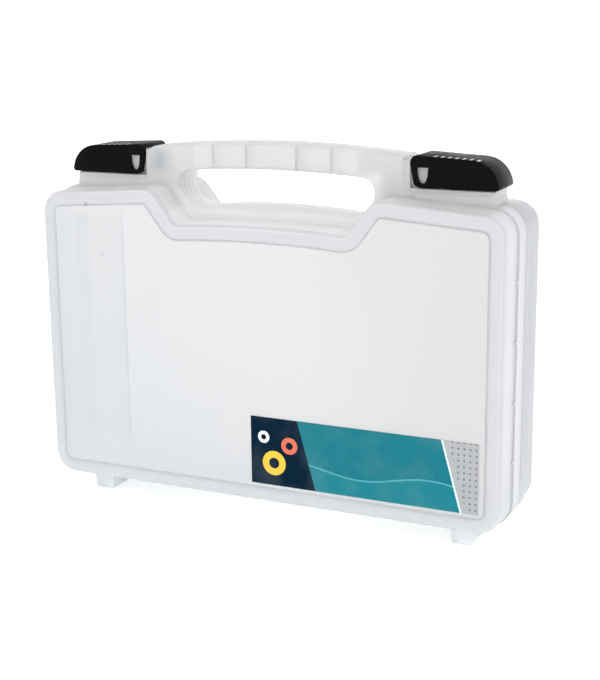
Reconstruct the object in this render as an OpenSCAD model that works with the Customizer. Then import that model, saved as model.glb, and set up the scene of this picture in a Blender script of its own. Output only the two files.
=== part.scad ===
// Art supply carrying case: two moulded half shells hinged along the bottom,
// a carrying handle moulded half on each shell, and two sliding clasps on the shoulders.
// X runs across the case, Y from front to back with the parting plane at Y = 0, and Z up
// from the table that the feet stand on.

/* [Case] */
// Width over the flange
case_w = 356; // [300:1:420]
// Depth of the closed case, front panel border to rear panel border
case_d = 81; // [70:0.5:110]
// Wall thickness of both shells
wall = 2; // [1.6:0.1:2.6]
// How far the flange stands out from the side walls
flange_lip = 1.5; // [1:0.1:2]
// Size of the small bevels along the parting line
seam = 0.4; // [0.2:0.05:0.6]
// Thickness of flange and handle, both halves together
flange_d = 30.5; // [28:0.5:36]
// Height of the shoulder ridge line above the bottom wall, taken at the middle of the case
ridge_h = 227.7; // [200:1:260]
// Fall of the shoulders towards the sides, in degrees
shoulder_fall = 4.2; // [2:0.1:6]
// Outer corner radius
corner_r = 16.5; // [14:0.5:22]

/* [Panels] */
// Width of the rounded border round each panel
border_w = 10.6; // [9:0.1:14]
// Radius of the border's outer edge
border_r = 4; // [3:0.5:6]
// Depth of the groove line round the panel, below the border's crown
groove_deep = 1.4; // [1:0.1:1.6]
// Width of the groove line
groove_w = 1.2; // [0.8:0.1:2]
// Depth of the flat panel below the border's crown
panel_drop = 0.7; // [0.4:0.1:1]

/* [Handle recess] */
// Drop of the recess below the ridge line
recess_drop = 29; // [22:1:36]
// Radius of the recess's gentle arch
recess_r = 810; // [600:10:1200]
// Half the distance between the centres of the two shoulder corners
recess_x = 91.6; // [88:0.2:94]
// Slope of the flanks of the recess, in degrees
flank_a = 53; // [46:1:60]
// Radius of the shoulder corners
shoulder_r = 15.6; // [13:0.2:18]
// Radius at the foot of the flanks
flank_r = 6.4; // [4:0.2:9]

/* [Handle] */
// Height of the sill between the recess and the finger opening
sill_h = 9.4; // [8:0.2:12]
// Height of the finger opening at its middle
finger_h = 26.3; // [24:0.1:34]
// Overall width of the finger opening
finger_w = 151; // [130:1:158]
// Height of the grip bar at its middle
grip_h = 18.1; // [15:0.1:24]
// Radius of the grip's arch
arch_r = 950; // [800:10:1300]
// Radius of the arch in the sill
sill_r = 550; // [450:10:900]
// Radius of the handle's rounded edges
edge_r = 2.6; // [1.5:0.1:3]
// Places of the finger steps across the grip
step_x = [-46.8, -20.6, 17.9, 44.1]; // [-52:0.1:48]
// Depth of the finger steps
step_deep = 1.1; // [0.6:0.1:1.5]
// Length over which a finger step rises back to the face
step_l = 21; // [12:0.5:24]

/* [Clasps] */
// Distance of each clasp's inner edge from the middle of the case
clasp_x = 102; // [100:0.5:106]
// Length of a clasp
clasp_l = 61.5; // [58:0.5:66]
// Thickness of a clasp's skirts, roof and end
clasp_t = 3; // [2.4:0.1:3.4]
// How far a clasp stands proud of the handle's face
clasp_proud = 0.35; // [0:0.05:0.8]
// Radius of a clasp's rounded outer end
clasp_r = 19.5; // [17:0.5:21]
// Clearance between a clasp and the rail that it slides on
run_gap = 0.35; // [0.2:0.05:0.5]
// Travel of a clasp from shut to free
travel = 14.5; // [12:0.5:18]
// Height of the ledge below the clasps above the middle of the recess
ledge_h = 25.3; // [24:0.1:28]
// Open strip between the ledge and a clasp
ledge_gap = 3.5; // [3:0.1:5]
// Number of grip ribs on each face of a clasp
rib_count = 6; // [3:1:7]
// Pitch of the grip ribs
rib_pitch = 4.95; // [4.4:0.05:5.2]

/* [Hinge] */
// Diameter of the hinge pins
pin_d = 3; // [2.5:0.1:3.6]
// Length of one knuckle
knuckle_l = 12; // [9:0.5:16]
// Outer diameter of a knuckle
knuckle_d = 9.4; // [8.4:0.1:9.8]
// Distance from the middle of the case to the middle of each hinge
hinge_x = 102; // [60:1:112]
// Side clearance between knuckles
knuckle_gap = 0.4; // [0.3:0.05:0.8]

/* [Feet] */
// Height of the flange's underside above the table
foot_h = 15; // [14:0.5:18]
// Width of a foot
foot_w = 15.8; // [12:0.2:20]
// Distance of the feet's outer faces from the middle
foot_x = 152.4; // [130:0.2:156]
// Depth of a front foot
foot_d = 23.4; // [18:0.2:25]

/* [Label] */
// Label width and height
label_size = [168.8, 49.6]; // [30:0.2:180]
// Thickness of the label
label_t = 0.2; // [0.1:0.05:0.3]
// Gap from the label to the groove line, beside it and below it
label_gap = [3.4, 2.2]; // [1:0.2:8]

/* [Hidden] */

milky = [0.86, 0.89, 0.92, 0.6];
black = [0.06, 0.06, 0.07];

arc_steps = 6;                 // steps in a corner of an outline
half_d = case_d / 2;           // depth of one shell
half_flange = flange_d / 2;    // flange and handle depth on one shell
half_w = case_w / 2 - flange_lip;
base_z = foot_h + flange_lip;  // underside of the bulged bodies
ridge_z = base_z + ridge_h;
recess_z = ridge_z - recess_drop;
finger_z = recess_z + sill_h;
grip_z = finger_z + finger_h;
crest_z = grip_z + grip_h;
draft = 0.4;                   // lean of a side wall over its depth
tip = 1;                       // how far a cutter runs past the face it leaves
fold_gap = 0.8;                // left under the folded-back shell

// clasp heights and the rail inside it
ledge_z = recess_z + ledge_h;
clasp_z = ledge_z + ledge_gap;
clasp_top_a = 2.7;             // slope of a clasp's top
clasp_end = clasp_x + clasp_l;
clasp_y = half_flange + clasp_proud;
rail_y = clasp_y - clasp_t - run_gap;
lip_h = 2;                     // inward lips that hold a clasp on its rail
lip_in = 2.4;                  // how far the lips reach in
bay_x = clasp_x - 4;           // inner edge of the recess round a clasp
catch_end = clasp_x + travel - 1;   // end of the front shell's catch
strip_z = clasp_z - run_gap;   // top of the strip under a clasp
end_x = clasp_end - 2.5;       // outer end of the block under a clasp
window = [8.4, 11];            // width and height of a clasp's window
stop_r = 1.6;                  // the peg that ends a clasp's travel
stop_h = 1.2;

// hinge line, halfway up the feet so that each shell's feet fold clear of the other shell
hinge_z = (foot_h - fold_gap) / 2;
pin_fit = 0.02;
turn_fit = 0.08;
rear_foot = [foot_d + 3.2, half_d - 3];  // front and back faces of a rear foot

// ---------------------------------------------------------------- outlines

// Points of an arc whose outward normal turns from n0 to n1; side is 1 on a convex corner
// and -1 on a hollow one, and inset moves the whole outline inwards.
function arc(c, r, n0, n1, side, inset, steps = arc_steps) =
    [for (i = [0 : steps])
        let (a = n0 + (n1 - n0) * i / steps, q = side * (r - side * inset))
        [c[0] + q * cos(a), c[1] + q * sin(a)]];

function mirrored(p) = [for (i = [len(p) - 1 : -1 : 0]) [-p[i][0], p[i][1]]];

// Where the ray from p along unit vector t leaves or enters the circle round c
function ray_circle(p, t, c, r, sense = 1) =
    let (q = p - c, b = q * t)
    p + (-b + sense * sqrt(b * b - q * q + r * r)) * t;

// Outline of the bulged body, with the handle recess in its top edge
fall_n = 90 - shoulder_fall;
flank_n = 90 + flank_a;
top_c = [half_w - corner_r,
         ridge_z - (half_w - corner_r) * tan(shoulder_fall) - corner_r / cos(shoulder_fall)];
shoulder_c = [recess_x, ridge_z - recess_x * tan(shoulder_fall) - shoulder_r / cos(shoulder_fall)];
recess_c = [0, recess_z - recess_r];
flank_c = ray_circle(shoulder_c + (shoulder_r + flank_r) * [cos(flank_n), sin(flank_n)],
                     -[cos(flank_a), sin(flank_a)], recess_c, recess_r + flank_r, -1);
recess_n = atan2(flank_c[1] - recess_c[1], flank_c[0]);

function body_half(inset) = concat(
    arc([half_w - corner_r, base_z + corner_r], corner_r, -90, 0, 1, inset),
    arc(top_c, corner_r, 0, fall_n, 1, inset),
    arc(shoulder_c, shoulder_r, fall_n, flank_n, 1, inset),
    arc(flank_c, flank_r, flank_n, recess_n, -1, inset),
    [for (i = [1 : 3]) let (a = recess_n + (90 - recess_n) * i / 4)
        recess_c + (recess_r - inset) * [cos(a), sin(a)]]);
function body(inset) =
    concat(body_half(inset), [[0, recess_z - inset]], mirrored(body_half(inset)));

// Outline of the handle with its shoulders
arch_c = [0, crest_z - arch_r];
cap_r = edge_r + 0.8;
cap_x = bay_x - cap_r;
cap_c = [cap_x, arch_c[1] + sqrt(pow(arch_r - cap_r, 2) - cap_x * cap_x)];
cap_n = atan2(cap_c[1] - arch_c[1], cap_x);
bay_r = 7;
block_r = edge_r + 1.4;
plate_z = recess_z - 12;         // the handle plate runs down into the bulged body
function handle_half(inset) = concat(
    arc([end_x - block_r, plate_z], block_r, -90, 0, 1, inset, 2),
    arc([end_x - block_r, ledge_z - block_r], block_r, 0, 90, 1, inset, 3),
    arc([bay_x + bay_r, ledge_z + bay_r], bay_r, 90, 0, -1, inset),
    arc(cap_c, cap_r, 0, cap_n, 1, inset, 3),
    [for (i = [1 : 4]) let (a = cap_n + (90 - cap_n) * i / 5)
        arch_c + (arch_r - inset) * [cos(a), sin(a)]]);
function handle(inset) =
    concat(handle_half(inset), [[0, crest_z - inset]], mirrored(handle_half(inset)));

// Outline of the finger opening
side_n = -19;
finger_r = [17, 10];           // bottom and top corners
under_c = [0, grip_z - (arch_r - grip_h)];
under_r = arch_r - grip_h;
sill_c = [0, finger_z - sill_r];
ftop_x = finger_w / 2 - finger_r[1];
ftop_c = [ftop_x, under_c[1] + sqrt(pow(under_r - finger_r[1], 2) - ftop_x * ftop_x)];
fbot_c = ray_circle(ftop_c + (finger_r[1] - finger_r[0]) * [cos(side_n), sin(side_n)],
                    [sin(side_n), -cos(side_n)], sill_c, sill_r + finger_r[0], -1);
function finger_half(inset) = concat(
    [for (i = [1 : 3]) let (a = 90 + (atan2(fbot_c[1] - sill_c[1], fbot_c[0]) - 90) * i / 4)
        sill_c + (sill_r + inset) * [cos(a), sin(a)]],
    arc(fbot_c, finger_r[0], atan2(fbot_c[1] - sill_c[1], fbot_c[0]) - 180, side_n, 1, inset),
    arc(ftop_c, finger_r[1], side_n, atan2(ftop_c[1] - under_c[1], ftop_c[0]), 1, inset),
    [for (i = [1 : 3])
        let (n = atan2(ftop_c[1] - under_c[1], ftop_c[0]), a = n + (90 - n) * i / 4)
        under_c + (under_r - inset) * [cos(a), sin(a)]]);
function finger(inset) = concat([[0, finger_z + inset]], finger_half(inset),
    [[0, grip_z - inset]], mirrored(finger_half(inset)));

// Outline of a clasp, and of the rail inside it
clasp_c = [clasp_end - clasp_r, clasp_z];
clasp_n = 90 - clasp_top_a;
function clasp_top(x, inset) = clasp_c[1] + (clasp_r - inset) / cos(clasp_top_a)
    + (clasp_c[0] - x) * tan(clasp_top_a);
lean = 8.5;                    // lean of a clasp's inner edge
function clasp_outline() = concat(
    arc([clasp_end - 2.2, clasp_z + 2.2], 2.2, -90, 0, 1, 0, 3),
    arc(clasp_c, clasp_r, 8, clasp_n, 1, 0, 9),
    arc([clasp_x + 4.5, clasp_top(clasp_x + 4.5, 0) - 4.5], 4.5, clasp_n, 180 + lean, 1, 0),
    arc([clasp_x + 7, clasp_z + 5], 5, 180 + lean, 270, 1, 0));
function rail(inset, x, z) =
    let (n0 = asin(max(0, z - clasp_z) / (clasp_r - inset)))
    concat(arc(clasp_c, clasp_r, n0, clasp_n, 1, inset, 8),
           [[x, clasp_top(x, inset)], [x, z]],
           z < clasp_z ? [[clasp_end - inset, z]] : []);

// ---------------------------------------------------------------- solids

// Skin through a stack of outlines that all have the same number of points
module loft(rings, heights) {
    n = len(rings[0]);
    m = len(rings);
    polyhedron(
        points = [for (j = [0 : m - 1]) for (p = rings[j]) [p[0], p[1], heights[j]]],
        faces = concat(
            [[for (i = [0 : n - 1]) i]],
            [for (j = [0 : m - 2]) for (i = [0 : n - 1])
                [j * n + i, (j + 1) * n + i, (j + 1) * n + (i + 1) % n, j * n + (i + 1) % n]],
            [[for (i = [n - 1 : -1 : 0]) (m - 1) * n + i]]));
}

// Half shells are drawn flat, outline in XY and depth along Z, then stood up
module to_front() rotate([90, 0, 0]) children();
module to_rear() mirror([0, 1, 0]) rotate([90, 0, 0]) children();

crown = half_d;
groove_z = crown - groove_deep;
panel_z = crown - panel_drop;

module body_skin() {
    // depth and inset of each outline, from the parting plane to the panel
    steps = [[0, seam - flange_lip], [seam, -flange_lip],
             [half_flange, -flange_lip], [half_flange, 0],
             [crown - border_r, draft],
             [crown - 0.45 * border_r, draft + 0.16 * border_r],
             [crown - 0.12 * border_r, draft + 0.56 * border_r],
             [crown, draft + 1.2 * border_r],
             [crown, border_w - 3.4], [crown - 0.3, border_w - 1.2],
             [groove_z, border_w], [groove_z, border_w + groove_w - 0.5],
             [panel_z, border_w + groove_w]];
    loft([for (s = steps) body(s[1])], [for (s = steps) s[0]]);
}

module handle_skin() {
    steps = [[0, seam], [seam, 0], [half_flange - edge_r, 0],
             [half_flange - 0.3 * edge_r, 0.3 * edge_r], [half_flange, edge_r]];
    loft([for (s = steps) handle(s[1])], [for (s = steps) s[0]]);
}

module cavity() {
    floor_z = panel_z - wall;
    steps = [[-tip, wall], [floor_z - border_r, wall + draft],
             [floor_z - 0.3 * border_r, wall + draft + 0.3 * border_r],
             [floor_z, wall + draft + border_r]];
    loft([for (s = steps) body(s[1])], [for (s = steps) s[0]]);
}

module finger_cut() {
    steps = [[-tip, -seam], [0, -seam], [seam, 0],
             [half_flange - edge_r, 0], [half_flange - 0.3 * edge_r, -0.3 * edge_r],
             [half_flange, -edge_r], [half_flange + tip, -edge_r]];
    loft([for (s = steps) finger(s[1])], [for (s = steps) s[0]]);
}

// Hollow inside each half of the grip bar
module grip_hollow() {
    skin = wall + 0.4;
    half_a = asin((ftop_x - 2) / arch_r);
    translate([0, 0, -tip]) linear_extrude(tip + half_flange - step_deep - wall) polygon(concat(
        [for (i = [-6 : 6]) let (a = 90 - half_a * i / 6)
            arch_c + (arch_r - skin) * [cos(a), sin(a)]],
        [for (i = [-6 : 6]) let (a = 90 + half_a * i / 6)
            under_c + (under_r + skin) * [cos(a), sin(a)]]));
}

// Finger steps across the face of the grip bar: a short fall, then a long hollow rise
module finger_steps() {
    for (x = step_x)
        translate([x, grip_z - 6, 0]) rotate([-90, 0, 0]) linear_extrude(grip_h + 12)
            polygon(concat(
                [[0, -half_flange - tip], [0, -half_flange]],
                [for (i = [0 : 6]) let (t = i / 6)
                    [0.5 + (step_l - 0.5) * t, step_deep * (1 - t) * (1 - t) - half_flange]],
                [[step_l, -half_flange - tip]]));
}

// Rail under a clasp, drawn by its side view, from depth y0 out to the rail's face
module rail_block(side_view, y0) {
    difference() {
        translate([0, 0, y0]) linear_extrude(rail_y - y0) polygon(side_view);
        translate([bay_x + 0.8, groove_base, rail_y - lip_in])
            cube([clasp_l + 2 * travel, lip_h + 3 * run_gap, lip_in + tip]);
    }
}
rail_in = clasp_t + run_gap;
root_x = bay_x - 4;
root_z = ledge_z - 4;
groove_base = clasp_z - 2 * run_gap;
strip_end = clasp_end - rail_in;
floor_end = clasp_x - 0.5;
floor_top = clasp_top(clasp_x, rail_in) - 0.6;
floor_y = half_flange - 1.2;   // the recess round a clasp is shallow
shelf_top = groove_base - 0.2;
floor_view = [[root_x, root_z], [strip_end - 0.3, root_z], [strip_end - 0.3, shelf_top],
              [floor_end, shelf_top], [floor_end, floor_top], [root_x, floor_top]];
catch_view = [[root_x, root_z], [strip_end, root_z], [strip_end, strip_z], [catch_end, strip_z],
              [catch_end, clasp_top(catch_end, rail_in)], [root_x, clasp_top(root_x, rail_in)]];

module both_sides() {
    children();
    mirror([1, 0, 0]) children();
}

// What both half shells share
module half_solid() {
    body_skin();
    handle_skin();
    both_sides() {
        linear_extrude(floor_y) polygon(floor_view);
        gussets();
    }
}

module half_cuts() {
    cavity();
    finger_cut();
    grip_hollow();
    finger_steps();
}

// Small gussets between the side wall and the flange
gusset_z = 46;                 // first gusset above the bottom wall
gusset_pitch = 41.1;
gusset_w = 2;
module gussets() {
    for (i = [0 : 3])
        translate([half_w - 1, base_z + gusset_z + i * gusset_pitch - gusset_w / 2,
                   half_flange - 1])
            cube([1 + flange_lip - 0.2, gusset_w, 4]);
}

// One foot, x0 to x1 across and y0 to y1 deep, with rounded lower edges
module foot(y0, y1, top) {
    r = 2.5;
    x0 = foot_x - foot_w;
    intersection() {
        translate([0, y1, 0]) rotate([90, 0, 0]) linear_extrude(y1 - y0)
            polygon(concat(arc([x0 + r + 0.5, r], r, 180, 270, 1, 0, 5),
                           arc([foot_x - r - 0.5, r], r, -90, 0, 1, 0, 5),
                           [[foot_x, top], [x0, top]]));
        translate([x0, 0, 0]) rotate([90, 0, 90]) linear_extrude(foot_w)
            polygon(concat(arc([y0 + r + 0.8, r], r, 180, 270, 1, 0, 5),
                           arc([y1 - r, r], r, -90, 0, 1, 0, 5),
                           [[y1, top], [y0, top]]));
    }
}

// Knuckle from x0 to x1 with its web up to the flange; side is -1 on the front shell
module knuckle(x0, x1, side) {
    web = knuckle_d / 2 - 0.8;
    translate([x0, 0, hinge_z]) rotate([0, 90, 0])
        cylinder(d = knuckle_d, h = x1 - x0, $fn = 64);
    translate([x0, side > 0 ? 0.2 : -0.2 - web, hinge_z])
        cube([x1 - x0, web, base_z - hinge_z + 0.5]);
}

module knuckle_bore(fit) {
    reach = 2 * knuckle_l;
    translate([hinge_x - reach, 0, hinge_z]) rotate([0, 90, 0])
        cylinder(d = pin_d + 2 * fit, h = 2 * reach, $fn = 48);
}

in_x0 = hinge_x - knuckle_l / 2;
in_x1 = hinge_x + knuckle_l / 2;
out_x0 = in_x0 - knuckle_gap - knuckle_l;
out_x1 = in_x1 + knuckle_gap + knuckle_l;

// The thin moulded skins of a shell, joined to one body
module moulded() minkowski() { union() children(); }

module front_shell() color(milky) {
    moulded() difference() {
        union() {
            to_front() {
                half_solid();
                both_sides() rail_block(catch_view, 0);
            }
            both_sides() foot(-foot_d, 0, base_z + 0.6);
        }
        to_front() half_cuts();
    }
    both_sides() difference() {
        knuckle(in_x0, in_x1, -1);
        knuckle_bore(turn_fit);
    }
}

module rear_shell() color(milky) {
    moulded() difference() {
        union() {
            to_rear() {
                half_solid();
                both_sides() rail_block(rail(rail_in, root_x, root_z), 0);
            }
            to_front() both_sides() rail_block(rail(rail_in + 0.05, catch_end + 0.5, clasp_z), -tip);
            both_sides() {
                foot(rear_foot[0], rear_foot[1], base_z + 1.5);
                stop_peg();
            }
        }
        to_rear() half_cuts();
    }
    both_sides() difference() {
        union() {
            knuckle(out_x0, in_x0 - knuckle_gap, 1);
            knuckle(in_x1 + knuckle_gap, out_x1, 1);
        }
        knuckle_bore(pin_fit);
    }
}

// Peg on the rail's top that ends the clasp's travel
peg_x = clasp_x + 24;
peg_y = 6;
rail_top = clasp_top(peg_x, rail_in);
module stop_peg() {
    translate([peg_x, peg_y, rail_top - 2]) cylinder(r = stop_r, h = stop_h + 2, $fn = 32);
}

// Shield-shaped window, drawn from its top edge down to a rounded point
module window_shape() {
    w = window[0] / 2;
    polygon(concat([[w, 0], [-w, 0], [-w + 0.4, 5.5 - window[1]]],
                   [for (a = [200 : 20 : 340]) [(w - 1) * cos(a), 4 - window[1] + 4 * sin(a)]],
                   [[w - 0.4, 5.5 - window[1]]]));
}

module clasp() {
    flute_r = 2.4;
    flute = 0.7;
    first = clasp_x + 18.9 - rib_pitch / 2;
    difference() {
        translate([0, clasp_y, 0]) rotate([90, 0, 0]) linear_extrude(2 * clasp_y)
            polygon(clasp_outline());
        // the rail's room, narrower at the lips
        translate([0, rail_y + run_gap, 0]) rotate([90, 0, 0])
            linear_extrude(2 * (rail_y + run_gap))
            polygon(rail(clasp_t, clasp_x - 2 * tip, clasp_z + lip_h));
        translate([clasp_x - tip, -rail_y + lip_in - run_gap, clasp_z - tip])
            cube([clasp_l - clasp_t + tip, 2 * (rail_y - lip_in + run_gap), lip_h + 2 * tip]);
        // slot for the peg
        for (y = [-peg_y, peg_y])
            translate([peg_x - travel - stop_r - run_gap, y - stop_r - run_gap, rail_top - tip])
                cube([travel + 2 * (stop_r + run_gap), 2 * (stop_r + run_gap),
                      stop_h + run_gap + tip]);
        // windows in both skirts
        for (s = [-1, 1])
            translate([clasp_x + 8.4, s * (clasp_y - clasp_t / 2), clasp_z + lip_h + window[1] + 0.4])
                rotate([90, 0, 0]) translate([0, 0, -clasp_t / 2 - tip / 2])
                linear_extrude(clasp_t + tip) window_shape();
        // grip flutes, cut through the top edge
        for (i = [0 : rib_count], s = [-1, 1])
            translate([first + i * rib_pitch, s * (clasp_y + flute_r - flute), clasp_z + 2.2])
                cylinder(r = flute_r, h = clasp_r + 6, $fn = 36);
    }
}

module clasp_right() color(black) clasp();
module clasp_left() color(black) mirror([1, 0, 0]) clasp();

module hinge_pin() {
    translate([out_x0, 0, hinge_z]) rotate([0, 90, 0])
        cylinder(d = pin_d, h = out_x1 - out_x0, $fn = 48);
}
module hinge_pin_right() color("silver") hinge_pin();
module hinge_pin_left() color("silver") mirror([1, 0, 0]) hinge_pin();

module label() color([0.1, 0.55, 0.62]) {
    x1 = half_w - border_w - groove_w - label_gap[0];
    z0 = base_z + border_w + groove_w + label_gap[1];
    translate([x1 - label_size[0], -panel_z - label_t, z0])
        cube([label_size[0], label_t, label_size[1]]);
}

front_shell();
rear_shell();
clasp_left();
clasp_right();
hinge_pin_left();
hinge_pin_right();
label();
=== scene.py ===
import bpy
from math import radians, tau
from mathutils import Matrix, Vector


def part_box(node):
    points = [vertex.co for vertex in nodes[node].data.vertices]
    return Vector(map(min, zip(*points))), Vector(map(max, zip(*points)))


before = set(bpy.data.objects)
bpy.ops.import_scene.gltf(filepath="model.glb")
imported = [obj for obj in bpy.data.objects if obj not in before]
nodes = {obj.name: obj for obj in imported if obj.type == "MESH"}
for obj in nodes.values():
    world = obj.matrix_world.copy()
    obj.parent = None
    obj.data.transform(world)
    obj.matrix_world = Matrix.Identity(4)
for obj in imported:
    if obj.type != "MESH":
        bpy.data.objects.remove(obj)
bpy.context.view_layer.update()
print("stage: frame loaded, pieces:", sorted(nodes))


# ---- small helpers for selecting and for material nodes

def pickOnly(thing):
    bpy.ops.object.select_all(action='DESELECT')
    thing.select_set(True)
    bpy.context.view_layer.objects.active = thing


def freshMaterial(name):
    material = bpy.data.materials.new(name)
    material.use_nodes = True
    tree = material.node_tree
    shader = tree.nodes["Principled BSDF"]
    coords = tree.nodes.new("ShaderNodeTexCoord")
    coords.location = (-1400, 0)
    return material, tree, shader, coords.outputs["Object"]


def setPlain(shader, values):
    for name, value in values.items():
        shader.inputs[name].default_value = value


def grain(tree, where, scale, detail=4.0, rough=0.5, stretch=None):
    # noise on the piece's own coordinates, optionally stretched along an axis
    source = where
    if stretch:
        mapping = tree.nodes.new("ShaderNodeMapping")
        mapping.inputs["Scale"].default_value = stretch
        tree.links.new(where, mapping.inputs["Vector"])
        source = mapping.outputs["Vector"]
    noise = tree.nodes.new("ShaderNodeTexNoise")
    noise.inputs["Scale"].default_value = scale
    noise.inputs["Detail"].default_value = detail
    noise.inputs["Roughness"].default_value = rough
    tree.links.new(source, noise.inputs["Vector"])
    return noise.outputs["Fac"]


def remap(tree, value, low, high, outLow=0.0, outHigh=1.0):
    node = tree.nodes.new("ShaderNodeMapRange")
    node.inputs["From Min"].default_value = low
    node.inputs["From Max"].default_value = high
    node.inputs["To Min"].default_value = outLow
    node.inputs["To Max"].default_value = outHigh
    tree.links.new(value, node.inputs["Value"])
    return node.outputs["Result"]


def calc(tree, kind, a, b=None, clamp=False):
    node = tree.nodes.new("ShaderNodeMath")
    node.operation = kind
    node.use_clamp = clamp
    for slot, item in ((0, a), (1, b)):
        if item is None:
            continue
        if isinstance(item, (int, float)):
            node.inputs[slot].default_value = item
        else:
            tree.links.new(item, node.inputs[slot])
    return node.outputs["Value"]


def times(tree, first, *others):
    product = first
    for other in others:
        product = calc(tree, 'MULTIPLY', product, other)
    return product


def band(tree, value, span):
    # 1 between the two middle values of the span, falling to 0 at its ends
    start, full, fade, end = span
    return times(tree, remap(tree, value, start, full), remap(tree, value, end, fade))


def lineAt(tree, value, centre, width):
    # width is (distance where the line ends, distance up to which it is full)
    return remap(tree, calc(tree, 'ABSOLUTE', calc(tree, 'SUBTRACT', value, centre)), *width)


def spotAway(tree, x, z, spotX, spotZ):
    dx = calc(tree, 'SUBTRACT', x, spotX)
    dz = calc(tree, 'SUBTRACT', z, spotZ)
    return calc(tree, 'SQRT', calc(tree, 'ADD', times(tree, dx, dx), times(tree, dz, dz)))


def tint(tree, mask, under, over):
    # colour "over" where the mask is 1; both may be a colour or a socket
    node = tree.nodes.new("ShaderNodeMix")
    node.data_type = 'RGBA'
    for name, item in (("A", under), ("B", over)):
        socket = [s for s in node.inputs if s.name == name and s.type == 'RGBA'][0]
        if isinstance(item, tuple):
            socket.default_value = (*item, 1.0)
        else:
            tree.links.new(item, socket)
    tree.links.new(mask, node.inputs["Factor"])
    return [s for s in node.outputs if s.type == 'RGBA'][0]


def bumpFrom(tree, shader, *layers):
    # layers are (height socket, depth in metres)
    last = None
    for height, depth in layers:
        node = tree.nodes.new("ShaderNodeBump")
        node.inputs["Strength"].default_value = 1.0
        node.inputs["Distance"].default_value = depth
        tree.links.new(height, node.inputs["Height"])
        if last:
            tree.links.new(last, node.inputs["Normal"])
        last = node.outputs["Normal"]
    tree.links.new(last, shader.inputs["Normal"])


def splitPlace(tree, where):
    node = tree.nodes.new("ShaderNodeSeparateXYZ")
    tree.links.new(where, node.inputs["Vector"])
    return node.outputs["X"], node.outputs["Y"], node.outputs["Z"]


def faceNormal(tree):
    facing = tree.nodes.new("ShaderNodeNewGeometry")
    return splitPlace(tree, facing.outputs["Normal"])


# ---- milky shells
# spans are metres; a span of four rises over the first two values and falls over the last two,
# and the other fours are two places with the strength at each

shellLook = {
    "cool": (0.83, 0.872, 0.91),
    "milk": (0.925, 0.923, 0.920),
    "warm": (0.88, 0.868, 0.84),
    "low": (0.81, 0.86, 0.875),
    "lowZ": (0.050, 0.012, 0.0, 0.6),
    "scuff": (0.62, 0.63, 0.64),
    "scuffZ": (0.030, 0.0),
    "speck": (0.30, 0.30, 0.32),
    "speckShare": 0.75,
    "specks": ((-0.1384, 0.2238, 0.0021), (-0.1260, 0.1875, 0.0013)),
    "roughness": (0.34, 0.50),
}

formShadeLook = {
    "rim": (0.745, 0.75, 0.785),
    "rimShare": 0.8,
    "rimY": (0.033, 0.037),
    "panelY": (0.03940, 0.03965, 0.03990, 0.04015),
    "groove": (0.66, 0.67, 0.71),
    "grooveY": (0.0388, 0.0390, 0.0393, 0.0396),
    "grooveX": (-0.166, -0.120, 0.25, 0.75),
    "facing": (0.75, 0.90),
    "left": (0.72, 0.775, 0.80),
    "leftX": (-0.150, -0.175, 0.0, 0.7),
    "leftZ": (0.24, 0.10, 0.2, 1.0),
    "frontSide": (0.86, 0.87, 0.90),
    "rearSide": (0.62, 0.635, 0.67),
    "rearFrom": (-0.001, 0.001),
    "sideX": (0.160, 0.168),
    "sideY": (0.036, 0.033),
    "seam": (0.44, 0.45, 0.50),
    "seamShare": 0.55,
    "seamWidth": (0.0010, 0.0003),
    "seams": (0.0, 0.0156),
    "dim": (0.825, 0.825, 0.825),
    "dimX": (0.03, 0.14, 0.0, 0.6),
}


def paintedFormShade(tree, where, colour):
    # painted shade: the rounded borders, the groove lines, the lower left and the side walls look deeper
    # than the two panels, the rear side walls deepest, and the right part of the panels is dimmed
    x, y, z = splitPlace(tree, where)
    depth = calc(tree, 'ABSOLUTE', y)
    across = calc(tree, 'ABSOLUTE', x)
    frontHalf = calc(tree, 'LESS_THAN', y, 0.0)
    panel = band(tree, depth, formShadeLook["panelY"])
    # painted shade on the rounded borders round the panels
    border = times(tree, remap(tree, panel, 1.0, 0.0), remap(tree, depth, *formShadeLook["rimY"]))
    colour = tint(tree, times(tree, border, formShadeLook["rimShare"]), colour, formShadeLook["rim"])
    # painted shade in the groove lines
    flat = calc(tree, 'ABSOLUTE', faceNormal(tree)[1])
    groove = times(tree, band(tree, depth, formShadeLook["grooveY"]), remap(tree, flat, *formShadeLook["facing"]),
                   remap(tree, x, *formShadeLook["grooveX"]))
    colour = tint(tree, groove, colour, formShadeLook["groove"])
    # painted shade at the lower left of the front half
    left = times(tree, remap(tree, x, *formShadeLook["leftX"]), remap(tree, z, *formShadeLook["leftZ"]), frontHalf)
    colour = tint(tree, left, colour, formShadeLook["left"])
    # painted shade on the side walls, much deeper on the rear half
    beside = remap(tree, across, *formShadeLook["sideX"])
    side = times(tree, beside, remap(tree, depth, *formShadeLook["sideY"]))
    colour = tint(tree, times(tree, side, frontHalf), colour, formShadeLook["frontSide"])
    colour = tint(tree, times(tree, side, remap(tree, y, *formShadeLook["rearFrom"])), colour,
                  formShadeLook["rearSide"])
    # painted shade: fine lines along the parting line and behind the rear lip
    for seamY in formShadeLook["seams"]:
        line = times(tree, lineAt(tree, y, seamY, formShadeLook["seamWidth"]), beside, formShadeLook["seamShare"])
        colour = tint(tree, line, colour, formShadeLook["seam"])
    # painted shade dims the right part of the panels
    dim = times(tree, remap(tree, x, *formShadeLook["dimX"]), panel)
    return tint(tree, dim, colour, formShadeLook["dim"])


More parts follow.
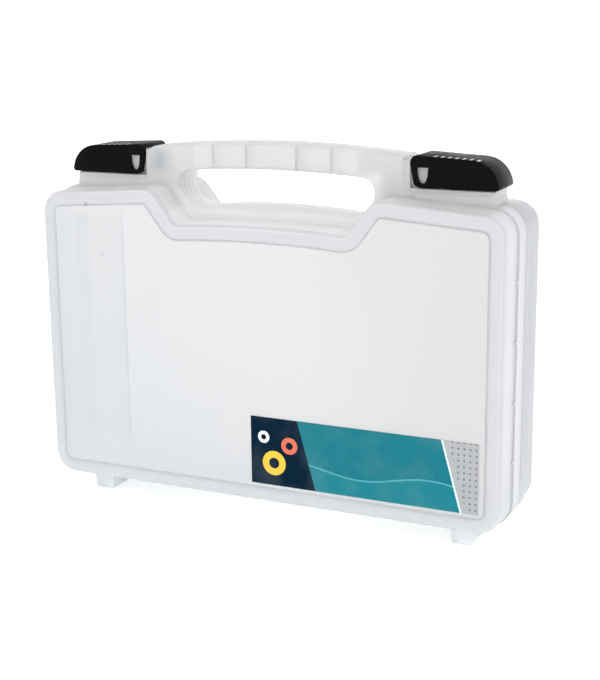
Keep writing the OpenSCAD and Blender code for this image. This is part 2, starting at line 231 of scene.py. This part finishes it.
throughAndShadeLook = {
    "frontFrom": -0.002,
    "panelFrom": -0.0385,
    "insideZ": (0.040, 0.060, 0.214, 0.222),
    "streak": (0.71, 0.755, 0.785),
    "streakShare": 0.65,
    "streakStart": (-0.1072, -0.1088),
    "streakEnd": (-0.156, -0.128, 0.45, 1.0),
    "streakGrain": (46.0, 3.0, 0.5, (1.0, 1.0, 0.02)),
    "streakRange": (0.40, 0.62, 0.25, 1.0),
    "line": (0.66, 0.66, 0.76),
    "lineShare": 0.5,
    "lineX": -0.1080,
    "lineWidth": (0.0011, 0.0002),
    "tongue": (0.46, 0.53, 0.62),
    "tongueShare": 0.6,
    "tongueX": (-0.1010, -0.0915, -0.0885, -0.0770),
    "tongueZ": (0.2435, 0.2500, 0.2600, 0.2660),
    "tongueY": (-0.0200, -0.0180),
    "bar": (0.80, 0.80, 0.785),
    "barX": (0.060, 0.045, 0.0, 0.5),
    "gripFrom": 0.243,
    "step": (0.74, 0.75, 0.75),
    "stepShare": 0.55,
    "stepSpan": (-0.0012, 0.0, 0.0, 0.0115),
    "steps": (-0.0468, -0.0206, 0.0179, 0.0441),
    "lip": (0.58, 0.60, 0.65),
    "lipShare": 0.5,
    "lipWidth": (0.0012, 0.0003),
    "lips": (-0.0100, -0.0058, 0.0, 0.0062),
    "holeX": (0.090, 0.084),
    "holeZ": (0.203, 0.207, 0.244, 0.247),
}


def seenThroughAndStepShade(tree, where, colour):
    # what lies behind the front wall shows faintly: a moulded line with cooler, streaky plastic
    # to its left and the tongue of the left clasp; the middle of the grip is a little greyer, and painted
    # shade lies softly beside the steps of the grip
    x, y, z = splitPlace(tree, where)
    across = calc(tree, 'ABSOLUTE', x)
    front = calc(tree, 'LESS_THAN', y, throughAndShadeLook["frontFrom"])
    panel = calc(tree, 'LESS_THAN', y, throughAndShadeLook["panelFrom"])
    inside = times(tree, band(tree, z, throughAndShadeLook["insideZ"]), panel)
    streak = remap(tree, grain(tree, where, *throughAndShadeLook["streakGrain"]), *throughAndShadeLook["streakRange"])
    streak = times(tree, remap(tree, x, *throughAndShadeLook["streakStart"]), remap(tree, x, *throughAndShadeLook["streakEnd"]),
                   streak, inside, throughAndShadeLook["streakShare"])
    colour = tint(tree, streak, colour, throughAndShadeLook["streak"])
    line = times(tree, lineAt(tree, x, throughAndShadeLook["lineX"], throughAndShadeLook["lineWidth"]), inside,
                 throughAndShadeLook["lineShare"])
    colour = tint(tree, line, colour, throughAndShadeLook["line"])
    tongue = times(tree, band(tree, x, throughAndShadeLook["tongueX"]), band(tree, z, throughAndShadeLook["tongueZ"]), front,
                   remap(tree, y, *throughAndShadeLook["tongueY"]), throughAndShadeLook["tongueShare"])
    colour = tint(tree, tongue, colour, throughAndShadeLook["tongue"])
    grip = times(tree, calc(tree, 'GREATER_THAN', z, throughAndShadeLook["gripFrom"]), front)
    bar = times(tree, remap(tree, across, *throughAndShadeLook["barX"]), grip)
    colour = tint(tree, bar, colour, throughAndShadeLook["bar"])
    # painted shade beside each step of the grip
    for stepX in throughAndShadeLook["steps"]:
        shade = band(tree, calc(tree, 'SUBTRACT', x, stepX), throughAndShadeLook["stepSpan"])
        colour = tint(tree, times(tree, shade, grip, throughAndShadeLook["stepShare"]), colour, throughAndShadeLook["step"])
    # the walls of the finger opening show the lips of both halves as nested lines
    hole = times(tree, remap(tree, across, *throughAndShadeLook["holeX"]), band(tree, z, throughAndShadeLook["holeZ"]))
    for lipY in throughAndShadeLook["lips"]:
        edge = times(tree, lineAt(tree, y, lipY, throughAndShadeLook["lipWidth"]), hole, throughAndShadeLook["lipShare"])
        colour = tint(tree, edge, colour, throughAndShadeLook["lip"])
    return colour


paintedGlowLook = {
    "colour": (0.96, 0.97, 1.0, 1.0),
    "holeX": (0.079, 0.076),
    "holeY": (0.0152, 0.0120, 0.0, 0.085),
    "holeZ": (0.2205, 0.2225, 0.2490, 0.2510),
    "sillX": (0.096, 0.086),
    "sillY": (0.037, 0.034, 0.0, 0.07),
    "sillZ": (0.206, 0.210, 0.2205, 0.2225),
}


def paintedGlowStrength(tree, where):
    # painted light: the opening of the thick grip and the sill below it glow faintly, standing in for light
    # the plastic gathers from behind
    x, y, z = splitPlace(tree, where)
    depth = calc(tree, 'ABSOLUTE', y)
    across = calc(tree, 'ABSOLUTE', x)
    hole, sill = [times(tree, remap(tree, across, *paintedGlowLook[part + "X"]),
                        band(tree, z, paintedGlowLook[part + "Z"]),
                        remap(tree, depth, *paintedGlowLook[part + "Y"])) for part in ("hole", "sill")]
    return calc(tree, 'ADD', hole, sill)


def milkyPlastic():
    material, tree, shader, where = freshMaterial("milkyPolypropylene")
    x, y, z = splitPlace(tree, where)
    clouds = grain(tree, where, 7.0, 3.0)
    # painted light and shade: cooler towards the lower left, warmer in soft patches to the upper right
    slope = calc(tree, 'ADD', times(tree, x, 1.6), times(tree, z, 1.2))
    slope = calc(tree, 'ADD', slope, times(tree, clouds, 0.35))
    coolness = remap(tree, slope, 0.30, -0.10)
    warmth = calc(tree, 'MULTIPLY', remap(tree, slope, 0.38, 0.75), 0.8, True)
    colour = tint(tree, coolness, shellLook["milk"], shellLook["cool"])
    colour = tint(tree, warmth, colour, shellLook["warm"])
    colour = paintedFormShade(tree, where, colour)
    colour = seenThroughAndStepShade(tree, where, colour)
    # a greenish cast low down, and scuffs on the feet and along the bottom edge
    colour = tint(tree, remap(tree, z, *shellLook["lowZ"]), colour, shellLook["low"])
    scratch = remap(tree, grain(tree, where, 60.0, 6.0, 0.7, (1.0, 1.0, 6.0)), 0.55, 0.70)
    scratch = times(tree, remap(tree, z, *shellLook["scuffZ"]), scratch)
    colour = tint(tree, scratch, colour, shellLook["scuff"])
    # stray specks in the front wall
    front = calc(tree, 'LESS_THAN', y, -0.03)
    for spotX, spotZ, size in shellLook["specks"]:
        away = spotAway(tree, x, z, spotX, spotZ)
        spot = times(tree, remap(tree, away, size, 0.0, 0.0, shellLook["speckShare"]), front)
        colour = tint(tree, spot, colour, shellLook["speck"])
    tree.links.new(colour, shader.inputs["Base Color"])
    smear = grain(tree, where, 24.0, 5.0, 0.6, (1.0, 1.0, 0.35))
    tree.links.new(remap(tree, smear, 0.3, 0.7, *shellLook["roughness"]), shader.inputs["Roughness"])
    setPlain(shader, {"Transmission Weight": 0.42, "Subsurface Weight": 0.22,
                      "Subsurface Radius": (1.0, 0.95, 0.85), "Subsurface Scale": 0.012,
                      "IOR": 1.49, "Emission Color": paintedGlowLook["colour"]})
    # painted light: the grip's opening and the sill glow faintly
    tree.links.new(paintedGlowStrength(tree, where), shader.inputs["Emission Strength"])
    # slow waves in the wall and a fine moulded grain
    bumpFrom(tree, shader, (grain(tree, where, 9.0, 2.0), 0.0012),
             (grain(tree, where, 1400.0, 2.0), 0.00002))
    return material


# ---- charcoal clasps

claspLook = {
    "body": (0.0016, 0.0014, 0.0018),
    "dust": (0.005, 0.005, 0.007),
    "rub": (0.004, 0.004, 0.005),
    "bright": (0.66, 0.68, 0.70),
    "brightShare": 0.9,
    "roughness": (0.30, 0.46),
    "shine": (0.065, 0.03),
    "edge": 0.00035,
    "firstFlute": 0.118425,
    "pitch": 0.00495,
    "flutes": 7,
    "brightY": (-0.0075, -0.0085),
    "roofZ": 0.254,
}


def paintedFluteGlints(tree, where, up):
    # painted highlights: bright glints on the upper ends of the flutes, along the front edge of the roof
    x, y, z = splitPlace(tree, where)
    across = calc(tree, 'ABSOLUTE', x)
    first, pitch = claspLook["firstFlute"], claspLook["pitch"]
    turn = times(tree, calc(tree, 'SUBTRACT', across, first), tau / pitch)
    return times(tree, remap(tree, calc(tree, 'COSINE', turn), 0.35, 0.75),
                 calc(tree, 'GREATER_THAN', across, first - pitch / 2),
                 calc(tree, 'LESS_THAN', across, first + (claspLook["flutes"] - 0.5) * pitch),
                 remap(tree, y, *claspLook["brightY"]),
                 calc(tree, 'GREATER_THAN', z, claspLook["roofZ"]),
                 remap(tree, up, 0.35, 0.55), claspLook["brightShare"])


def charcoalPlastic():
    material, tree, shader, where = freshMaterial("charcoalPlastic")
    up = faceNormal(tree)[2]
    # faces that look up keep a thin haze of dust and shine less
    haze = times(tree, remap(tree, up, 0.25, 0.95),
                 remap(tree, grain(tree, where, 90.0, 6.0), 0.30, 0.75, 0.35, 0.85))
    rub = remap(tree, grain(tree, where, 38.0, 8.0, 0.65, (1.0, 1.0, 2.5)), 0.60, 0.72, 0.0, 0.25)
    colour = tint(tree, haze, claspLook["body"], claspLook["dust"])
    colour = tint(tree, rub, colour, claspLook["rub"])
    # painted highlights on the upper ends of the flutes
    colour = tint(tree, paintedFluteGlints(tree, where, up), colour, claspLook["bright"])
    tree.links.new(colour, shader.inputs["Base Color"])
    wear = grain(tree, where, 70.0, 5.0)
    tree.links.new(remap(tree, wear, 0.3, 0.7, *claspLook["roughness"]), shader.inputs["Roughness"])
    tree.links.new(remap(tree, up, 0.3, 0.9, *claspLook["shine"]), shader.inputs["Specular IOR Level"])
    setPlain(shader, {"IOR": 1.5})
    bumpFrom(tree, shader, (grain(tree, where, 1800.0, 2.0), 0.00003))
    return material


# ---- steel pins

pinLook = {"metal": (0.58, 0.58, 0.60), "dull": (0.42, 0.42, 0.44), "roughness": (0.25, 0.42), "edge": 0.0002}


def drawnSteel():
    material, tree, shader, where = freshMaterial("drawnSteel")
    lines = grain(tree, where, 500.0, 3.0, 0.5, (0.05, 1.0, 1.0))
    colour = tint(tree, remap(tree, lines, 0.35, 0.7), pinLook["metal"], pinLook["dull"])
    tree.links.new(colour, shader.inputs["Base Color"])
    tree.links.new(remap(tree, lines, 0.3, 0.7, *pinLook["roughness"]), shader.inputs["Roughness"])
    setPlain(shader, {"Metallic": 1.0})
    bumpFrom(tree, shader, (lines, 0.00001))
    return material


# ---- printed label: a plain pattern of slanted fields, rings and dots

labelLook = {
    "teal": (0.012, 0.170, 0.213),
    "tealLow": (0.015, 0.195, 0.24),
    "wave": (0.08, 0.35, 0.39),
    "waveUp": 0.016,
    "waveHeight": 0.0035,
    "waveTurns": 62.0,
    "waveLine": 0.0006,
    "waveSoft": 0.0003,
    "slant": 0.28,
    "navy": (0.0005, 0.013, 0.030),
    "navyWidth": 0.050,
    "grey": (0.39, 0.395, 0.405),
    "greyWidth": 0.012,
    "bright": (0.62, 0.80, 0.82),
    "brightLine": 0.0007,
    "dot": (0.16, 0.19, 0.22),
    "dotPitch": 0.0021,
    "dotSquare": 0.0000006,
    "dotInset": 0.004,
    "fade": (0.7, 0.74, 0.76),
    "ringWide": 0.28,
    "rings": ((0.0105, 0.0470, 0.0090, (0.80, 0.52, 0.06)),
              (0.0225, 0.0610, 0.0062, (0.70, 0.16, 0.10)),
              (0.0025, 0.0655, 0.0045, (0.75, 0.78, 0.80))),
    "roughness": (0.28, 0.42),
}


def onLine(tree, value, centre, reach):
    off = calc(tree, 'ABSOLUTE', calc(tree, 'SUBTRACT', value, centre))
    return calc(tree, 'LESS_THAN', off, reach)


def printedVinyl():
    material, tree, shader, where = freshMaterial("printedVinyl")
    low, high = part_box("label")
    x, y, z = splitPlace(tree, where)
    lean = calc(tree, 'ADD', x, times(tree, calc(tree, 'SUBTRACT', z, low[2]), labelLook["slant"]))
    # teal field, lighter below a wave line
    wave = times(tree, calc(tree, 'SINE', times(tree, x, labelLook["waveTurns"])), labelLook["waveHeight"])
    hill = calc(tree, 'SUBTRACT', calc(tree, 'SUBTRACT', z, low[2] + labelLook["waveUp"]), wave)
    below = remap(tree, hill, labelLook["waveSoft"], -labelLook["waveSoft"])
    colour = tint(tree, below, labelLook["teal"], labelLook["tealLow"])
    colour = tint(tree, onLine(tree, hill, 0.0, labelLook["waveLine"]), colour, labelLook["wave"])
    # dark slanted block with rings
    navyEnd = low[0] + labelLook["navyWidth"]
    colour = tint(tree, calc(tree, 'LESS_THAN', lean, navyEnd), colour, labelLook["navy"])
    wide = labelLook["ringWide"]
    for ringX, ringZ, size, paint in labelLook["rings"]:
        away = spotAway(tree, x, z, ringX, ringZ)
        colour = tint(tree, onLine(tree, away, size * (1 - wide), size * wide), colour, paint)
    # grey end behind a bright line, with rows of small dots
    greyStart = high[0] - labelLook["greyWidth"]
    colour = tint(tree, calc(tree, 'GREATER_THAN', lean, greyStart), colour, labelLook["grey"])
    colour = tint(tree, onLine(tree, lean, greyStart, labelLook["brightLine"]), colour,
                  labelLook["bright"])
    across = calc(tree, 'PINGPONG', x, labelLook["dotPitch"])
    along = calc(tree, 'PINGPONG', z, labelLook["dotPitch"])
    dot = calc(tree, 'ADD', times(tree, across, across), times(tree, along, along))
    dot = times(tree, calc(tree, 'LESS_THAN', dot, labelLook["dotSquare"]),
                calc(tree, 'GREATER_THAN', lean, greyStart + labelLook["dotInset"]))
    colour = tint(tree, dot, colour, labelLook["dot"])
    fade = remap(tree, grain(tree, where, 40.0, 6.0), 0.45, 0.8, 0.0, 0.05)
    colour = tint(tree, fade, colour, labelLook["fade"])
    tree.links.new(colour, shader.inputs["Base Color"])
    wear = grain(tree, where, 55.0, 5.0)
    tree.links.new(remap(tree, wear, 0.3, 0.7, *labelLook["roughness"]), shader.inputs["Roughness"])
    setPlain(shader, {"Specular IOR Level": 0.03})
    bumpFrom(tree, shader, (grain(tree, where, 160.0, 3.0), 0.00004))
    return material


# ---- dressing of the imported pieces

weldReach = 0.000004


def dress(name, material, edge, crisp):
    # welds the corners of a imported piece, rounds its edges a little and shades it smooth
    piece = nodes[name]
    pickOnly(piece)
    bpy.ops.object.shade_smooth()
    weld = piece.modifiers.new("weldCorners", 'WELD')
    weld.merge_threshold = weldReach
    if edge:
        bevel = piece.modifiers.new("softEdge", 'BEVEL')
        bevel.width = edge
        bevel.segments = 2
        bevel.limit_method = 'ANGLE'
        bevel.angle_limit = radians(40)
    split = piece.modifiers.new("crispEdge", 'EDGE_SPLIT')
    split.split_angle = radians(crisp)
    for slotItem in piece.material_slots:
        slotItem.material = material
    if not piece.material_slots:
        piece.data.materials.append(material)


milky = milkyPlastic()
charcoal = charcoalPlastic()
steel = drawnSteel()
vinyl = printedVinyl()
for name in ("front_shell", "rear_shell"):
    dress(name, milky, 0, 32)
for name in ("clasp_left", "clasp_right"):
    dress(name, charcoal, claspLook["edge"], 38)
for name in ("hinge_pin_left", "hinge_pin_right"):
    dress(name, steel, pinLook["edge"], 38)
dress("label", vinyl, 0, 38)
print("stage: materials and edges done")


# ---- floor, light and camera

stageLook = {"width": 60.0, "depth": 80.0, "near": 4.0, "glow": 0.42,
             "pale": (0.955, 0.955, 0.955), "paler": (0.97, 0.97, 0.97)}


def buildStage():
    bpy.ops.object.select_all(action='DESELECT')
    bpy.ops.mesh.primitive_plane_add(size=1.0)
    floor = bpy.context.object
    floor.name = "studioFloor"
    bpy.ops.object.mode_set(mode='EDIT')
    bpy.ops.transform.resize(value=(stageLook["width"], stageLook["depth"], 1.0))
    bpy.ops.transform.translate(value=(0.0, stageLook["depth"] / 2 - stageLook["near"], 0.0))
    bpy.ops.object.mode_set(mode='OBJECT')
    material, tree, shader, where = freshMaterial("paleFloor")
    shade = tint(tree, remap(tree, grain(tree, where, 3.0), 0.3, 0.7), stageLook["pale"],
                 stageLook["paler"])
    tree.links.new(shade, shader.inputs["Base Color"])
    # the case stands on a faintly lit white table
    setPlain(shader, {"Roughness": 0.9, "Emission Color": (1.0, 1.0, 1.0, 1.0),
                      "Emission Strength": stageLook["glow"]})
    floor.data.materials.append(material)


lamps = {
    "key": {"place": (-0.5, -2.0, 1.3), "size": 1.5, "power": 6.0, "colour": (1.0, 0.99, 0.97)},
    "fill": {"place": (1.7, -0.9, 1.1), "size": 1.6, "power": 0.8, "colour": (0.97, 0.98, 1.0)},
    "top": {"place": (0.1, 0.4, 2.1), "size": 1.8, "power": 3.5, "colour": (1.0, 1.0, 1.0)},
    "back": {"place": (0.2, 1.7, 0.8), "size": 1.5, "power": 1.6, "colour": (1.0, 0.98, 0.95)},
}
aimAt = Vector((0.0, 0.0, 0.13))
airLook = {"Color": (0.99, 0.995, 1.0, 1.0), "Strength": 1.10}


def hangLamps():
    for name, lamp in lamps.items():
        bpy.ops.object.light_add(type='AREA', location=lamp["place"])
        light = bpy.context.object
        light.name = name + "Lamp"
        light.data.size = lamp["size"]
        light.data.energy = lamp["power"]
        light.data.color = lamp["colour"]
        toward = aimAt - light.location
        light.rotation_euler = toward.to_track_quat('-Z', 'Y').to_euler()
    world = bpy.data.worlds.new("studioAir")
    world.use_nodes = True
    setPlain(world.node_tree.nodes["Background"], airLook)
    bpy.context.scene.world = world


cameraPlace = {
    "right": (0.90490, 0.42549, -0.01100),
    "up": (-0.09230, 0.22139, 0.97081),
    "back": (0.41550, -0.87747, 0.23961),
    "spot": (0.4321, -0.8854, 0.3696),
    "lens": 74.38,
}


def placeCamera():
    bpy.ops.object.camera_add()
    camera = bpy.context.object
    camera.name = "mainCamera"
    camera.data.sensor_fit = 'AUTO'
    camera.data.sensor_width = 36.0
    camera.data.lens = cameraPlace["lens"]
    camera.data.clip_start = 0.01
    camera.data.clip_end = 60.0
    axes = [cameraPlace[side] for side in ("right", "up", "back", "spot")]
    camera.matrix_world = Matrix([[axis[row] for axis in axes] for row in range(3)] + [[0, 0, 0, 1]])
    bpy.context.scene.camera = camera


buildStage()
hangLamps()
placeCamera()
bpy.context.scene.view_settings.view_transform = 'Standard'
print("stage: floor, lamps and camera done")
